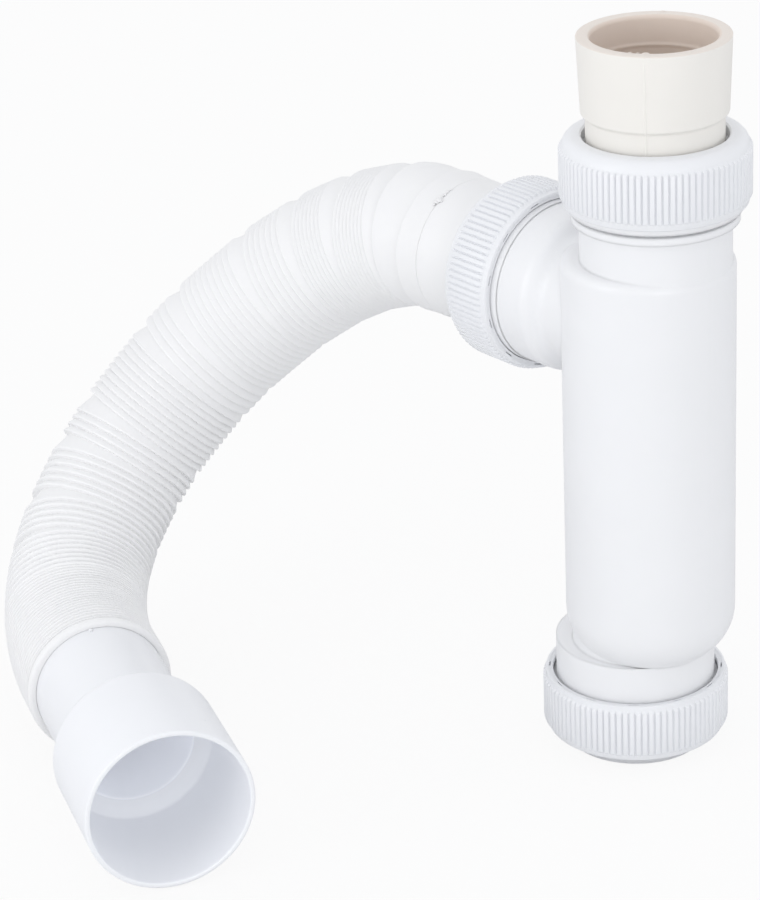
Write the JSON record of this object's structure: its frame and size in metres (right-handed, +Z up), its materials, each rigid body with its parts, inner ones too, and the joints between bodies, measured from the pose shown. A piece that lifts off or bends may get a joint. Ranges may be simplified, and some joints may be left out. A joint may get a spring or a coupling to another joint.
{
  "type": "waste trap",
  "caption": "Upright sink bottle trap with a rubber inlet cuff, ribbed union nuts, a screw-off cleaning cap and a concertina outlet hose ending in a stepped spigot.",
  "frame": {"origin": "centre of the cleaning cap's flat base", "axes": "+Z up the barrel to the inlet; the outlet branch points along -X"},
  "size_m": [0.2244, 0.208, 0.2242],
  "materials": {
    "white_pp": "satin moulded plastic",
    "nut_pp": "satin moulded plastic, ribbed",
    "hose_pp": "satin blown plastic",
    "connector_pp": "satin moulded plastic",
    "cream_rubber": "matt soft rubber",
    "black_rubber": "matt soft rubber"
  },
  "bodies": {
    "trap": {"trap_body": "white_pp", "dip_tube": "white_pp", "outlet_seal": "black_rubber"},
    "inlet_cuff": {"inlet_cuff": "cream_rubber", "inlet_slip_ring": "white_pp"},
    "inlet_nut": {"inlet_nut": "nut_pp"},
    "cap_washer": {"cap_washer": "black_rubber"},
    "cleaning_cap": {"cleaning_cap": "nut_pp"},
    "outlet_slip_ring": {"outlet_slip_ring": "white_pp"},
    "outlet_nut": {"outlet_nut": "nut_pp"},
    "hose": {"hose_spigot": "hose_pp", "concertina_hose": "hose_pp"},
    "hose_end": {"end_connector": "connector_pp"}
  },
  "joints": [
    {"name": "inlet_lift", "type": "slide", "parent": "trap", "child": "inlet_cuff", "axis": [0, 0, 1], "range_m": [0, 0.0091]},
    {"name": "inlet_nut_turn", "type": "hinge", "parent": "inlet_cuff", "child": "inlet_nut", "pos_m": [0.01, 0, 0.185], "axis": [0, 0, 1], "range_deg": [0, 1080]},
    {"name": "cap_drop", "type": "slide", "parent": "trap", "child": "cap_washer", "axis": [0, 0, -1], "range_m": [0, 0.0091]},
    {"name": "cap_turn", "type": "hinge", "parent": "cap_washer", "child": "cleaning_cap", "pos_m": [0, 0, 0.012], "axis": [0, 0, -1], "range_deg": [0, 1080]},
    {"name": "outlet_ring_back", "type": "slide", "parent": "trap", "child": "outlet_slip_ring", "axis": [-1, 0, 0], "range_m": [0, 0.0091]},
    {"name": "outlet_nut_turn", "type": "hinge", "parent": "outlet_slip_ring", "child": "outlet_nut", "pos_m": [-0.043, 0, 0.1389], "axis": [-1, 0, 0], "range_deg": [0, 1080]},
    {"name": "hose_swivel", "type": "hinge", "parent": "trap", "child": "hose", "pos_m": [-0.043, 0, 0.1389], "axis": [-1, 0, 0], "range_deg": [-45, 135]},
    {"name": "hose_stretch", "type": "hinge", "parent": "hose", "child": "hose_end", "pos_m": [-0.1, -0.062, 0.08], "axis": [0, 0, 1], "range_deg": [-20, 25], "deforming": ["concertina_hose"]}
  ],
  "couplings": [
    {"joint": "inlet_lift", "follows": "inlet_nut_turn", "m_per_rad": 0.00047746},
    {"joint": "cap_drop", "follows": "cap_turn", "m_per_rad": 0.00047746},
    {"joint": "outlet_ring_back", "follows": "outlet_nut_turn", "m_per_rad": 0.00047746}
  ]
}
